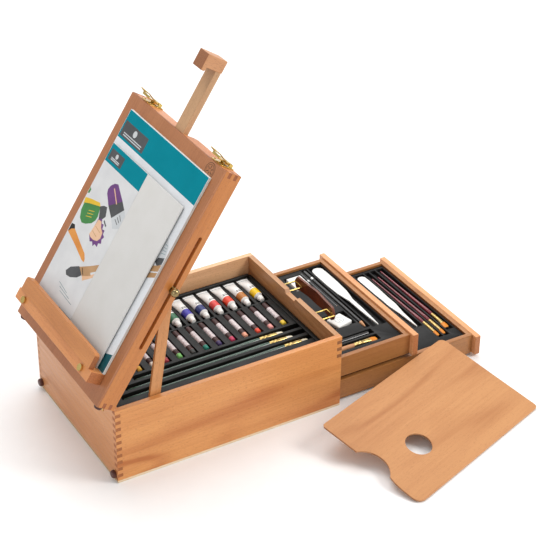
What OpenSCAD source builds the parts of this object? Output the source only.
// Table-top art supply box. The lid opens into an easel, and two drawers slide out of one end.
// X runs from the hinges to the drawers, Y from the front panel to the back, Z up.
// The origin is the centre of the underside.

/* [Case] */
// Length of the case along X
case_l = 400; // [380:5:420]
// Width of the case along Y
case_w = 293; // [286:1:300]
// Height of the case panels, without base and lid
case_h = 131; // [129:1:134]
// Thickness of the wooden panels
panel_t = 9; // [8.5:0.5:9.5]
// Thickness of the plywood base
base_t = 4; // [3:0.5:4]
// Width of one finger of the corner joints
finger_pitch = 6.24; // [5:0.01:8]

/* [Lid and easel] */
// Angle between the lid and the case
lid_open = 57; // [40:1:66]
// Height of the lid's rails with its board
lid_h = 32.6; // [31:0.1:34]
// Thickness of the easel board on the lid
board_t = 4; // [3:0.5:4]
// Place of the clamp knob along the lid
knob_at = 207; // [195:1:220]
// Length of the mast that stands out of the lid
mast_out = 104; // [60:1:120]
// Width of the mast
mast_w = 25; // [20:1:26]
// Length of the easel ledge
ledge_l = 264; // [230:1:270]

/* [Drawers] */
// How far the upper drawer is pulled out
upper_out = 140; // [60:1:200]
// How far the lower drawer is pulled out
lower_out = 271; // [200:1:290]
// Thickness of the drawer walls
wall_t = 8; // [7:0.5:9]
// Thickness of the drawer faces
face_t = 10.6; // [9:0.1:12]

/* [Colour media] */
// Number of paint tubes
tube_count = 12; // [6:1:12]
// Number of oil pastels
pastel_count = 12; // [6:1:12]

/* [Palette] */
// Length of the palette
palette_l = 318; // [300:1:330]
// Width of the palette
palette_w = 201; // [195:1:205]
// Thickness of the palette
palette_t = 3; // [2.8:0.1:3.2]

/* [Hidden] */
$fn = 48;
rim_z = base_t + case_h;
inner_w = case_w - 2 * panel_t;
mid_y = case_w / 2;
gap = 0.3;

// heights inside the case, from the underside
lower_face_z = [base_t + 0.7, base_t + 37.3];
middle_shelf_z = [base_t + 39.9, base_t + 43.9];
upper_face_z = [base_t + 44.6, base_t + 85.1];
end_panel_z = base_t + 85.6;
tray_shelf_z = [end_panel_z, end_panel_z + 3];
tray_z = [tray_shelf_z[1], tray_shelf_z[1] + 10.5];

// lid hinge and linkage, seen from the front in X and Z
hinge_r = 2.6;
hinge_x = -3.2;
hinge_z = rim_z + 0.15;
hinge_y = [55, case_w - 55];
slot_h = 12;
slot_w = 6;
slot_x = [108, 293];
strut_w = 18;
strut_t = 5;
strut_y = panel_t + 1.2;
strut_pivot = [68, base_t + 99];
knob_arm = [knob_at - hinge_x, rim_z + gap + slot_h - hinge_z];
knob_xz = [hinge_x + knob_arm[0] * cos(lid_open) - knob_arm[1] * sin(lid_open),
           hinge_z + knob_arm[0] * sin(lid_open) + knob_arm[1] * cos(lid_open)];
strut_len = norm(knob_xz - strut_pivot);
strut_angle = atan2(knob_xz[1] - strut_pivot[1], knob_xz[0] - strut_pivot[0]);

// heights in the lid, from the rim of the case
rail_h = lid_h - board_t;
mast_h = [rail_h - 10.3, rail_h - 0.3];
hook_gap = 18;
hook_lip = 8;
hook_l = 20;
hook_w = mast_w + 1;
ledge_x = [27, 45];
ledge_depth = 25;
ledge_mid = mid_y + 3;
lip_top = 70;
lip_l = ledge_l - 16;
lip_proud = 2;
thumb_inset = 27.5;
latch_y = [35.5, case_w - 35.5];
latch_half = 10;
latch_open = 5;
bail_out = 160;
bail_arm = 23.3;
bail_pin = [404.6, 15];
lever_pin = [404.2, 7.5];

// contents of the tray
tube_x0 = 368;
tube_pitch = 26;
tube_r = 8;
tube_y = [210, 271];
cap_l = 9;
pastel_x0 = 365;
pastel_pitch = 24;
pastel_y = [120, 188];
brush_y = [103, 85, 66];
brush_tip_x = [352, 360, 377];
brush_l = [268, 299, 331];

palette_corner = [311.6, -85.2, base_t + 45];
palette_turn = 18.9;
palette_tilt = 13.1;

// handle on the drawer end
handle_z = base_t + 108;
handle_y = [mid_y - 50, mid_y + 50];
handle_reach = 36;
strap_l = 124;
strap_w = 26;
strap_t = 5;

// ---- frames and small helpers ----

// The case's own corner frame: x, y and z from the hinge end, front and underside.
module in_case() {
    translate([-case_l / 2, -case_w / 2, 0]) children();
}

// The lid, drawn closed in the case's frame and turned open about its hinges.
module in_lid() {
    in_case()
    translate([hinge_x, 0, hinge_z])
    rotate([0, -lid_open, 0])
    translate([-hinge_x, 0, -hinge_z]) children();
}

// A block between two corners.
module block(a, b) {
    translate(a) cube(b - a);
}

// A mirror copy at the back of what is drawn at the front.
module at_back() {
    translate([0, case_w, 0]) mirror([0, 1, 0]) children();
}

// A rod along Y between two places.
module rod_y(x, z, y0, y1, r) {
    translate([x, y0, z]) rotate([-90, 0, 0]) cylinder(h = y1 - y0, r = r);
}

// A rod along X between two places.
module rod_x(x0, x1, y, z, r) {
    translate([x0, y, z]) rotate([0, 90, 0]) cylinder(h = x1 - x0, r = r);
}

// Fingers of a corner joint, up a height, starting with number first.
module fingers(size_x, size_y, z0, z1, first) {
    count = floor((z1 - z0) / finger_pitch / 2) * 2 + 1;
    pitch = (z1 - z0) / count;
    for (i = [first : 2 : count - 1])
        translate([0, 0, z0 + i * pitch]) cube([size_x, size_y, pitch]);
}

// ---- case ----

// A long panel with fingers at both ends.
module long_panel() {
    difference() {
        block([0, 0, base_t], [case_l, panel_t, rim_z]);
        fingers(panel_t, panel_t, base_t, rim_z, 1);
        translate([case_l - panel_t, 0, 0]) fingers(panel_t, panel_t, end_panel_z, rim_z, 1);
    }
}

module front_panel() {
    color("#D99A5F") in_case() long_panel();
}

module back_panel() {
    color("#D99A5F") in_case() at_back() long_panel();
}

module left_panel() {
    color("#D3A277") in_case() union() {
        block([0, panel_t, base_t], [panel_t, case_w - panel_t, rim_z]);
        fingers(panel_t, panel_t, base_t, rim_z, 1);
        at_back() fingers(panel_t, panel_t, base_t, rim_z, 1);
    }
}

// The tapered hand notch in an end, with its wide side at the joint with the lid.
module hand_notch(z_joint, depth) {
    translate([0, mid_y, z_joint]) rotate([90, 0, 90])
        linear_extrude(height = 2 * panel_t, center = true)
            polygon([[-mast_w / 2 - 5, sign(depth)], [mast_w / 2 + 5, sign(depth)],
                     [mast_w / 2 + 1, -depth], [-mast_w / 2 - 1, -depth]]);
}

module right_end_panel() {
    color("#C98D58") in_case() difference() {
        translate([case_l - panel_t, 0, 0]) union() {
            block([0, panel_t, end_panel_z], [panel_t, case_w - panel_t, rim_z]);
            fingers(panel_t, panel_t, end_panel_z, rim_z, 1);
            at_back() fingers(panel_t, panel_t, end_panel_z, rim_z, 1);
        }
        translate([case_l - panel_t / 2, 0, 0]) hand_notch(rim_z, 6);
    }
}

module base_board() {
    color("#E0BD92") in_case() block([0, 0, 0], [case_l, case_w, base_t]);
}

module middle_shelf() {
    color("#C9A279") in_case()
        block([panel_t, panel_t, middle_shelf_z[0]],
              [case_l, case_w - panel_t, middle_shelf_z[1]]);
}

module tray_shelf() {
    color("#C9A279") in_case()
        block([panel_t, panel_t, tray_shelf_z[0]],
              [case_l - panel_t, case_w - panel_t, tray_shelf_z[1]]);
}

// A turned rubber foot that stands out along -X.
module round_foot(y, z) {
    translate([0, y, z]) rotate([0, -90, 0]) rotate_extrude()
        polygon([[0, 0], [6.5, 0], [6.5, 4.2], [5.2, 6], [0, 6]]);
}

module case_feet() {
    color("#3A1A14") in_case() {
        round_foot(10, base_t + 8);
        at_back() round_foot(10, base_t + 8);
    }
}

// ---- tray and its contents ----

// A moulded insert between two corners: a thin top on skirts, with cups of a depth let into it.
// Each cup is [lowest x, lowest y, highest x, highest y].
module moulded_insert(lo, hi, cups, depth) {
    t = 1.5;
    difference() {
        union() {
            difference() {
                block(lo, hi);
                block([lo[0] + t, lo[1] + t, lo[2] - 1], [hi[0] - t, hi[1] - t, hi[2] - t]);
            }
            for (c = cups)
                block([max(c[0] - t, lo[0]), max(c[1] - t, lo[1]), hi[2] - depth - t],
                      [min(c[2] + t, hi[0]), min(c[3] + t, hi[1]), hi[2] - t / 2]);
        }
        for (c = cups) block([c[0], c[1], hi[2] - depth], [c[2], c[3], hi[2] + 1]);
    }
}

tube_cups = [for (i = [0 : tube_count - 1])
    [tube_x(i) - 10.5, tube_y[0] - cap_l - 8, tube_x(i) + 10.5, tube_y[1] + 2.5]];
pastel_cups = [for (i = [0 : pastel_count - 1])
    [pastel_x(i) - 6.5, pastel_y[0] - 5, pastel_x(i) + 6.5, tube_y[0] - cap_l - 11.5]];
brush_cups = [for (i = [0 : 2])
    [brush_tip_x[i] - brush_l[i] - 4, brush_y[i] - 6, 384, brush_y[i] + 6]];

module tray_insert() {
    color("#2E2E2D") in_case()
        moulded_insert([panel_t + 1.5, 18.5, tray_z[0]],
                       [case_l - panel_t - 1.5, case_w - 18.5, tray_z[1]],
                       concat(tube_cups, pastel_cups, brush_cups), 9);
}

function tube_x(i) = tube_x0 - i * tube_pitch;
function pastel_x(i) = pastel_x0 - i * pastel_pitch;

// One paint tube: a round body that flattens to a crimped end.
module paint_tube() {
    crimp_y = tube_y[1] - 5;
    rod_y(0, 0, tube_y[0] - 4, tube_y[0], 3.2);
    rod_y(0, 0, tube_y[0], tube_y[1] - 30, tube_r);
    intersection() {
        rod_y(0, 0, tube_y[1] - 30, crimp_y, tube_r);
        translate([-12, 0, 0]) rotate([90, 0, 90]) linear_extrude(height = 24)
            polygon([[tube_y[1] - 30, -tube_r], [tube_y[1] - 30, tube_r],
                     [crimp_y, 0.7], [crimp_y, -0.7]]);
    }
    block([-10, crimp_y, -0.7], [10, tube_y[1], 0.7]);
}

module paint_tubes() {
    color("#E8E8E4") in_case()
        for (i = [0 : tube_count - 1])
            translate([tube_x(i), 0, tray_z[0] + 1.7 + tube_r]) paint_tube();
}

module tube_caps() {
    color("#F3F3EE") in_case()
        for (i = [0 : tube_count - 1])
            translate([tube_x(i), tube_y[0] - 4, tray_z[0] + 1.7 + tube_r]) rotate([90, 0, 0])
                cylinder(h = cap_l, r1 = 5.6, r2 = 4.6);
}

module oil_pastels() {
    color("#D8CFCB") in_case()
        for (i = [0 : pastel_count - 1])
            rod_y(pastel_x(i), tray_z[0] + 1.7 + 5, pastel_y[0], pastel_y[1], 5);
}

// The handle of a brush: a turned taper along -X from its ferrule.
module brush_handle(length, r) {
    rotate([0, -90, 0]) rotate_extrude()
        polygon([[0, 0], [r * 0.75, 0], [r, length * 0.15], [r, length * 0.3],
                 [r * 0.5, length - 2], [0, length]]);
}

// Ferrule and bristles of a brush, along X.
module brush_head(length, r) {
    rotate([0, 90, 0]) rotate_extrude()
        polygon([[0, 0], [r * 0.75, 0], [r, length * 0.5], [r, length - 8], [r * 0.4, length],
                 [0, length]]);
}

module tray_brush_handles() {
    color("#1F3A2C") in_case()
        for (i = [0 : 2])
            translate([brush_tip_x[i] - 50, brush_y[i], tray_z[0] + 1.7 + 4])
                brush_handle(brush_l[i] - 50, 4);
}

module tray_brush_ferrules() {
    color("#B99A45") in_case()
        for (i = [0 : 2])
            translate([brush_tip_x[i] - 50, brush_y[i], tray_z[0] + 1.7 + 4]) brush_head(50, 4);
}

// ---- hardware of the case ----

module catch_plates() {
    color("#C8A24A") in_case() for (y = latch_y) {
        block([case_l, y - latch_half - 1, rim_z - 20], [case_l + 1, y + latch_half + 1, rim_z - 3]);
        block([case_l + 1, y - latch_half + 1, rim_z - 7],
              [case_l + 3.4, y + latch_half - 1, rim_z - 5.8]);
    }
}

module handle_mounts() {
    color("#C8A24A") in_case() for (y = handle_y) {
        block([case_l, y - 14, handle_z - 8], [case_l + 1.5, y + 14, handle_z + 8]);
        for (side = [-1, 1]) difference() {
            union() {
                block([case_l + 1.5, y + side * 6 - 1.5, handle_z - 3],
                      [case_l + 4.5, y + side * 6 + 1.5, handle_z + 3]);
                rod_y(case_l + 4.5, handle_z, y + side * 6 - 1.5, y + side * 6 + 1.5, 3);
            }
            rod_y(case_l + 4.5, handle_z, y - 12, y + 12, 1.6);
        }
    }
}

// Knuckles of a hinge at the given places across its width.
module hinge_knuckles(y, places) {
    for (k = places) difference() {
        rod_y(hinge_x, hinge_z, y - 15 + k * 10 + 0.15, y - 5 + k * 10 - 0.15, hinge_r);
        rod_y(hinge_x, hinge_z, y - 20, y + 20, 1.3);
    }
}

module case_hinge_leaves() {
    color("#C8A24A") in_case() for (y = hinge_y) {
        difference() {
            block([-1.2, y - 15, rim_z - 24], [0, y + 15, rim_z - 0.1]);
            block([-2, y - 5.15, rim_z - 4], [1, y + 5.15, rim_z]);
        }
        hinge_knuckles(y, [0, 2]);
        for (k = [-10, 10])
            block([hinge_x + 1.6, y + k - 4.85, hinge_z - 2.5], [-1.2, y + k + 4.85, hinge_z - 1.6]);
    }
}

module hinge_pins() {
    color("#B8923C") in_case() for (y = hinge_y)
        rod_y(hinge_x, hinge_z, y - 15.5, y + 15.5, 1.25);
}

module strut_pivots() {
    color("#B8923C") in_case() {
        strut_pivot_pin();
        at_back() strut_pivot_pin();
    }
}

module strut_pivot_pin() {
    rod_y(strut_pivot[0], strut_pivot[1], panel_t, strut_y + strut_t + 0.3, 2.5);
    rod_y(strut_pivot[0], strut_pivot[1], strut_y + strut_t + 0.3, strut_y + strut_t + 2, 5);
}

// ---- lid ----

// A side rail of the lid with its clamp slot and fingers at both ends.
module slotted_rail() {
    difference() {
        block([0, 0, rim_z + gap], [case_l, panel_t, rim_z + rail_h]);
        fingers(panel_t, panel_t, rim_z + gap, rim_z + rail_h, 1);
        translate([case_l - panel_t, 0, 0])
            fingers(panel_t, panel_t, rim_z + gap, rim_z + rail_h, 1);
        block([slot_x[0], -1, rim_z + gap + slot_h - slot_w / 2],
              [slot_x[1], panel_t + 1, rim_z + gap + slot_h + slot_w / 2]);
        for (x = slot_x) rod_y(x, rim_z + gap + slot_h, -1, panel_t + 1, slot_w / 2);
    }
}

// A cross rail of the lid with fingers at both ends.
module cross_rail() {
    block([0, panel_t, rim_z + gap], [panel_t, case_w - panel_t, rim_z + rail_h]);
    fingers(panel_t, panel_t, rim_z + gap, rim_z + rail_h, 1);
    at_back() fingers(panel_t, panel_t, rim_z + gap, rim_z + rail_h, 1);
}

module lid_front_rail() {
    color("#D98E50") in_lid() slotted_rail();
}

module lid_back_rail() {
    color("#D98E50") in_lid() at_back() slotted_rail();
}

module lid_hinge_rail() {
    color("#B9835A") in_lid() cross_rail();
}

module lid_end_rail() {
    color("#D7AD84") in_lid() difference() {
        translate([case_l - panel_t, 0, 0]) cross_rail();
        block([case_l - panel_t - 1, mid_y - mast_w / 2 - 0.3, rim_z],
              [case_l + 1, mid_y + mast_w / 2 + 0.3, rim_z + rail_h + 1]);
        translate([case_l - panel_t / 2, 0, 0]) hand_notch(rim_z + gap, -6);
    }
}

module easel_board() {
    color("#B5805B") in_lid()
        block([0, 0, rim_z + rail_h], [case_l, case_w, rim_z + lid_h]);
}

module mast_guides() {
    color("#C99A6B") in_lid() for (side = [-1, 1])
        translate([0, mid_y + side * (mast_w / 2 + 0.3 + 4), 0])
            block([150, -4, rim_z + mast_h[0] - 0.3], [case_l - panel_t, 4, rim_z + rail_h]);
}

module mast_keepers() {
    color("#C99A6B") in_lid() for (x = [160, 330])
        block([x, mid_y - 24, rim_z + mast_h[0] - 5.3], [x + 22, mid_y + 24, rim_z + mast_h[0] - 0.3]);
}

module lid_feet() {
    color("#3A1A14") in_lid() {
        round_foot(10, rim_z + 22);
        at_back() round_foot(10, rim_z + 22);
    }
}

module lid_hinge_leaves() {
    color("#C8A24A") in_lid() for (y = hinge_y) {
        difference() {
            block([-1.2, y - 15, rim_z + 0.4], [0, y + 15, rim_z + 24]);
            for (k = [-10, 10]) block([-2, y + k - 5.15, rim_z], [1, y + k + 5.15, rim_z + 4]);
        }
        hinge_knuckles(y, [1]);
        block([hinge_x + 1.6, y - 4.85, hinge_z + 1.6], [-1.2, y + 4.85, hinge_z + 2.5]);
    }
}

module latch_plates() {
    color("#C8A24A") in_lid() for (y = latch_y) {
        block([case_l, y - latch_half - 4.3, rim_z + 1.5],
              [case_l + 1.4, y + latch_half + 4.3, rim_z + 27]);
        for (side = [-1, 1]) difference() {
            block([case_l + 1.4, y + side * (latch_half + 1) - 0.7, rim_z + 4],
                  [case_l + 6.4, y + side * (latch_half + 1) + 0.7, rim_z + 11]);
            rod_y(lever_pin[0], rim_z + lever_pin[1], y - latch_half - 5, y + latch_half + 5, 1.15);
        }
    }
}

// ---- ledge of the easel ----

module ledge_shelf() {
    color("#D8A273") in_lid() difference() {
        block([ledge_x[0], ledge_mid - ledge_l / 2, rim_z + lid_h],
              [ledge_x[1], ledge_mid + ledge_l / 2, rim_z + lid_h + ledge_depth]);
        for (side = [-1, 1])
            translate([(ledge_x[0] + ledge_x[1]) / 2, ledge_mid + side * (ledge_l / 2 - thumb_inset),
                       rim_z + lid_h - 1])
                cylinder(h = ledge_depth + 2, r = 2.6);
    }
}

// The lip is rounded at its two free corners.
module ledge_lip() {
    color("#C8875A") in_lid()
        translate([0, ledge_mid, rim_z + lid_h + ledge_depth - 7])
        linear_extrude(height = 7 + lip_proud)
            difference() {
                translate([ledge_x[1], -lip_l / 2]) square([lip_top - ledge_x[1], lip_l]);
                for (side = [-1, 1]) translate([lip_top - 7, side * (lip_l / 2 - 7)])
                    difference() {
                        translate([0, side > 0 ? 0 : -8]) square([8, 8]);
                        circle(r = 7);
                    }
            }
}

// A brass thumb screw through the ledge, seated on its outer face.
module thumb_screw(side) {
    translate([(ledge_x[0] + ledge_x[1]) / 2, ledge_mid + side * (ledge_l / 2 - thumb_inset),
               rim_z + lid_h]) {
        translate([0, 0, 0.3]) cylinder(h = ledge_depth, r = 2.5);
        translate([0, 0, ledge_depth + 0.3]) cylinder(h = 0.8, r = 4.6);
        translate([0, 0, ledge_depth + 1.1]) cylinder(h = 2.4, r = 5.6);
    }
}

module thumb_screw_front() {
    color("#CFAE63") in_lid() thumb_screw(-1);
}

module thumb_screw_back() {
    color("#CFAE63") in_lid() thumb_screw(1);
}

// ---- mast ----

module mast_bar() {
    color("#B98A63") in_lid()
        block([178, mid_y - mast_w / 2, rim_z + mast_h[0]],
              [case_l + mast_out, mid_y + mast_w / 2, rim_z + mast_h[1]]);
}

// The head of the mast overhangs the easel and ends in a short lip.
module mast_hook() {
    color("#C69468") in_lid()
        translate([case_l + mast_out, mid_y + hook_w / 2, rim_z + mast_h[0]]) rotate([90, 0, 0])
            linear_extrude(height = hook_w)
                polygon([[0, -1], [hook_l, -1], [hook_l, 10 + hook_gap + hook_lip],
                         [-6.5, 10 + hook_gap + hook_lip], [-6.5, 10 + hook_gap + 2],
                         [-4.5, 10 + hook_gap], [0, 10 + hook_gap]]);
}

// ---- latches on the lid ----

// What is drawn in the closed latch's frame, turned out with its lever.
module on_lever(angle) {
    translate([lever_pin[0], 0, rim_z + lever_pin[1]]) rotate([0, angle, 0])
        translate([-lever_pin[0], 0, -rim_z - lever_pin[1]]) children();
}

module latch_lever(y) {
    on_lever(latch_open) {
        y0 = y - latch_half;
        y1 = y + latch_half;
        rod_y(lever_pin[0], rim_z + lever_pin[1], y0 - 1.7, y1 + 1.7, 1.1);
        rod_y(lever_pin[0], rim_z + lever_pin[1], y0, y1, 2);
        block([404.4, y0, rim_z + 5.6], [406.8, y1, rim_z + 9]);
        difference() {
            block([405.8, y0, rim_z + 6], [407, y1, rim_z + 33]);
            for (side = [-1, 1])
                block([405, y + side * 4.5 - 2.5, rim_z + 13], [408, y + side * 4.5 + 2.5, rim_z + 18]);
        }
        block([407, y0, rim_z + 31.2], [409.5, y1, rim_z + 33]);
        for (side = [-1, 1]) difference() {
            block([402.6, y + side * (latch_half - 0.7) - 0.7, rim_z + 11.5],
                  [406, y + side * (latch_half - 0.7) + 0.7, rim_z + 18.5]);
            rod_y(bail_pin[0], rim_z + bail_pin[1], y0 - 3, y1 + 3, 1);
        }
    }
}

// The wire bail swings on the lever: folded up on it here, or down to the catch on the case.
module latch_bail(y) {
    r = 0.9;
    half = latch_half + 3.1;
    on_lever(latch_open)
    translate([bail_pin[0], y, rim_z + bail_pin[1]])
    rotate([0, -bail_out, 0]) {
        for (side = [-1, 1]) {
            translate([0, side * half, -bail_arm]) cylinder(h = bail_arm, r = r);
            translate([0, side * half, 0]) sphere(r = r);
            translate([0, side * half, -bail_arm]) sphere(r = r);
        }
        rod_y(0, 0, -half, 1.3 - latch_half, r);
        rod_y(0, 0, latch_half - 1.3, half, r);
        rod_y(0, -bail_arm, -half, half, r);
    }
}

module latch_lever_front() {
    color("#D4B35C") in_lid() latch_lever(latch_y[0]);
}

module latch_lever_back() {
    color("#D4B35C") in_lid() latch_lever(latch_y[1]);
}

module latch_bail_front() {
    color("#B8923C") in_lid() latch_bail(latch_y[0]);
}

module latch_bail_back() {
    color("#B8923C") in_lid() latch_bail(latch_y[1]);
}

// ---- clamp knobs and struts ----

// The bolt runs in the lid's slot and ends just short of the strut.
module clamp_knob() {
    translate([knob_at, 0, rim_z + gap + slot_h]) rotate([90, 0, 0]) {
        translate([0, 0, -panel_t - 0.8]) cylinder(h = panel_t + 1.1, r = 2.3);
        translate([0, 0, 0.3]) cylinder(h = 1.2, r = 6);
        translate([0, 0, 1.5]) cylinder(h = 2, r = 3.2);
        translate([0, 0, 7.8]) sphere(r = 7);
    }
}

module knob_front() {
    color("#D4B35C") in_lid() clamp_knob();
}

module knob_back() {
    color("#D4B35C") in_lid() at_back() clamp_knob();
}

module strut() {
    translate([strut_pivot[0], strut_y, strut_pivot[1]]) rotate([0, -strut_angle, 0])
        rotate([-90, 0, 0]) difference() {
            union() {
                translate([0, -strut_w / 2, 0]) cube([strut_len, strut_w, strut_t]);
                cylinder(h = strut_t, r = strut_w / 2);
                translate([strut_len, 0, 0]) cylinder(h = strut_t, r = strut_w / 2);
            }
            translate([0, 0, -1]) cylinder(h = strut_t + 2, r = 2.55);
        }
}

module strut_nut() {
    translate([knob_xz[0], strut_y + strut_t, knob_xz[1]]) rotate([-90, 0, 0]) {
        cylinder(h = 1, r = 6);
        translate([0, 0, 1]) cylinder(h = 2.2, r = 4);
    }
}

module strut_front() {
    color("#C58D5B") in_case() strut();
}

module strut_back() {
    color("#C58D5B") in_case() at_back() strut();
}

module strut_nut_front() {
    color("#B8923C") in_case() strut_nut();
}

module strut_nut_back() {
    color("#B8923C") in_case() at_back() strut_nut();
}

// ---- pads on the easel ----

module sketch_pad() {
    color("#0D7F8C") in_lid()
        block([ledge_x[1] + 0.3, 18, rim_z + lid_h + 0.3], [379, 268, rim_z + lid_h + 4.3]);
}

module canvas_board() {
    color("#CFCCC8") in_lid()
        block([ledge_x[1] + 0.3, 34, rim_z + lid_h + 4.8], [321, 261, rim_z + lid_h + 8.8]);
}

// ---- handle ----

module handle_strap() {
    color("#5A1F16") in_case()
        translate([case_l + 4.5 + handle_reach, mid_y, handle_z])
            block([0, -strap_l / 2, -strap_w / 2], [strap_t, strap_l / 2, strap_w / 2]);
}

// Two wire rings join the strap to its mounts.
module handle_rings() {
    r = 1.5;
    x0 = case_l + 4.5;
    x1 = x0 + handle_reach - r;
    color("#C8A24A") in_case() for (y = handle_y) {
        rod_y(x0, handle_z, y - 11, y + 11, r);
        rod_y(x1, handle_z, y - 11, y + 11, r);
        for (side = [-1, 1]) rod_x(x0, x1, y + side * 11, handle_z, r);
        for (side = [-1, 1], x = [x0, x1]) translate([x, y + side * 11, handle_z]) sphere(r = r);
    }
}

// ---- drawers ----

// A drawer is drawn with its front wall's outer face at x = case_l + out.
module drawer_walls(out, z0, z1) {
    translate([out, 0, 0]) difference() {
        block([panel_t + 6, panel_t + 0.6, z0], [case_l + gap, case_w - panel_t - 0.6, z1]);
        block([panel_t + 6 + wall_t, panel_t + 0.6 + wall_t, z0 - 1],
              [case_l - wall_t, case_w - panel_t - 0.6 - wall_t, z1 + 1]);
    }
}

module drawer_bottom(out, z0) {
    translate([out, 0, 0])
        block([panel_t + 6 + wall_t, panel_t + 0.6 + wall_t, z0],
              [case_l - wall_t, case_w - panel_t - 0.6 - wall_t, z0 + 3]);
}

module drawer_face(out, z) {
    translate([case_l + out, 0, 0]) block([gap, 0, z[0]], [face_t, case_w, z[1]]);
}

// Lowest corner inside a drawer's walls, for its insert.
function inside_x(out) = panel_t + 6 + wall_t + out;
inside_y = panel_t + 0.6 + wall_t;
upper_wall_z = [middle_shelf_z[1] + 0.3, base_t + 81.5];
lower_wall_z = [base_t + 0.3, base_t + 36.8];
upper_insert_z = upper_wall_z[1] - 3.5;
lower_insert_z = lower_wall_z[1] - 3.5;

upper_cups = [[503, 64, 530, 272], [489, 68, 500, 272], [444, 88, 486, 129], [448, 218, 482, 262],
              [330, 29, 496, 45], [330, 49, 496, 62]];
lower_cups = [[600, 80, 618, 268], [621, 36, 630, 268], [633, 36, 643, 268], [646, 48, 660, 268]];

// The insert of a drawer, with its cups drawn for the drawer at its first place.
module drawer_insert(out, first, z0, z1, cups) {
    translate([out - first, 0, 0])
        moulded_insert([inside_x(first) + 0.5, inside_y + 0.5, z0],
                       [case_l - wall_t - 0.5 + first, case_w - inside_y - 0.5, z1], cups, 8);
}

module upper_insert() {
    color("#262625") in_case()
        drawer_insert(upper_out, 140, upper_wall_z[0] + 3, upper_insert_z, upper_cups);
}

module lower_insert() {
    color("#262625") in_case()
        drawer_insert(lower_out, 271, lower_wall_z[0] + 3, lower_insert_z, lower_cups);
}

// A plastic painting knife: a broad rounded blade that narrows to its tip, along Y.
module painting_knife(y0, y1, w) {
    linear_extrude(height = 2.4) union() {
        translate([0, y1 - w / 2]) circle(r = w / 2);
        polygon([[-w / 2, y1 - w / 2], [w / 2, y1 - w / 2], [w / 2, y0 + 90], [3, y0 + 40],
                 [0.8, y0], [-0.8, y0], [-3, y0 + 40], [-w / 2, y0 + 90]]);
    }
}

// A pencil along Y with a sharpened end towards the front.
module pencil_y(y0, y1) {
    translate([0, y1, 0]) rotate([90, 0, 0]) rotate_extrude()
        polygon([[0, 0], [3.6, 0], [3.6, y1 - y0 - 20], [0.6, y1 - y0], [0, y1 - y0]]);
}

module upper_drawer_tools() {
    z = upper_insert_z - 7.8;
    color("#E9E9E6") in_case() translate([upper_out - 140, 0, 0]) {
        translate([516.5, 0, z + 4]) painting_knife(68, 268, 22);
        translate([494.5, 0, z + 4]) pencil_y(71, 268);
        translate([465, 108.5, z]) rotate([0, 0, 14]) translate([-15, -14, 0]) cube([30, 28, 10]);
        translate([465, 240, z]) translate([-14, -18, 0]) cube([28, 36, 10]);
        translate([442, 37, z + 4]) brush_head(50, 4);
        translate([442, 37, z + 4]) brush_handle(105, 4);
        translate([340, 56, z + 4]) rotate([0, 0, -90]) pencil_y(0, 150);
    }
}

module lower_drawer_tools() {
    z = lower_insert_z - 7.8;
    color("#5B1712") in_case() translate([lower_out - 271, 0, 0]) {
        translate([609, 0, z + 4]) painting_knife(84, 264, 16);
        for (b = [[625.5, 44], [638, 44], [653, 58]])
            translate([b[0], b[1] + 46, z + 4]) {
                rotate([0, 0, -90]) brush_head(46, 3.6);
                rotate([0, 0, -90]) brush_handle(150, 3.6);
            }
    }
}

module upper_drawer_face() {
    color("#D39257") in_case() drawer_face(upper_out, upper_face_z);
}

module upper_drawer_walls() {
    color("#C79461") in_case() drawer_walls(upper_out, upper_wall_z[0], upper_wall_z[1]);
}

module upper_drawer_bottom() {
    color("#C9A279") in_case() drawer_bottom(upper_out, upper_wall_z[0]);
}

module lower_drawer_face() {
    color("#D39257") in_case() drawer_face(lower_out, lower_face_z);
}

module lower_drawer_walls() {
    color("#C79461") in_case() drawer_walls(lower_out, lower_wall_z[0], lower_wall_z[1]);
}

module lower_drawer_bottom() {
    color("#C9A279") in_case() drawer_bottom(lower_out, lower_wall_z[0]);
}

// ---- palette ----

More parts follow.
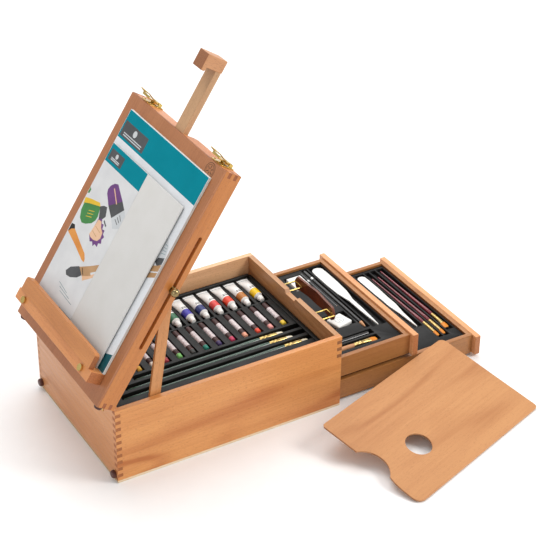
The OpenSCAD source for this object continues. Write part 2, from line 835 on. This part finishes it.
// Points of an arc from one angle to another.
function arc(centre, r, from, to, steps = 12) =
    [for (i = [0 : steps]) let (angle = from + (to - from) * i / steps)
        centre + r * [cos(angle), sin(angle)]];

// Flat outline, with u along the raised edge and w down towards the table.
// The left side has a hollow for the fingers and ends in a round lobe.
module palette_outline() {
    far_r = 11;
    near_r = 7;
    lobe_r = 16;
    lobe_u = -5;
    difference() {
        polygon(concat(
            [[4, 0]],
            arc([palette_l - far_r, far_r], far_r, -90, 0),
            arc([palette_l - near_r, palette_w - near_r], near_r, 0, 90),
            arc([lobe_u + lobe_r, palette_w - lobe_r], lobe_r, 90, 180),
            [[-4.6, 166], [-2.6, 150]],
            arc([-17, 104], 38, 62, -63, 20),
            [[0, 4]]));
        translate([91.5, 124]) circle(r = 22);
    }
}

// It leans with its long edge over the lower drawer and the other edge on the table.
module palette() {
    color("#DDA571") in_case()
        translate(palette_corner) rotate([0, 0, palette_turn]) rotate([palette_tilt, 0, 0])
            mirror([0, 1, 0]) translate([0, 0, -palette_t])
                linear_extrude(height = palette_t) palette_outline();
}

front_panel();
back_panel();
left_panel();
right_end_panel();
base_board();
middle_shelf();
tray_shelf();
case_feet();
tray_insert();
paint_tubes();
tube_caps();
oil_pastels();
tray_brush_handles();
tray_brush_ferrules();
catch_plates();
handle_mounts();
case_hinge_leaves();
hinge_pins();
strut_pivots();
lid_front_rail();
lid_back_rail();
lid_hinge_rail();
lid_end_rail();
easel_board();
mast_guides();
mast_keepers();
lid_feet();
lid_hinge_leaves();
latch_plates();
ledge_shelf();
ledge_lip();
mast_bar();
mast_hook();
thumb_screw_front();
thumb_screw_back();
latch_lever_front();
latch_lever_back();
latch_bail_front();
latch_bail_back();
knob_front();
knob_back();
strut_front();
strut_back();
strut_nut_front();
strut_nut_back();
sketch_pad();
canvas_board();
handle_strap();
handle_rings();
upper_drawer_face();
upper_drawer_walls();
upper_drawer_bottom();
upper_insert();
upper_drawer_tools();
lower_drawer_face();
lower_drawer_walls();
lower_drawer_bottom();
lower_insert();
lower_drawer_tools();
palette();
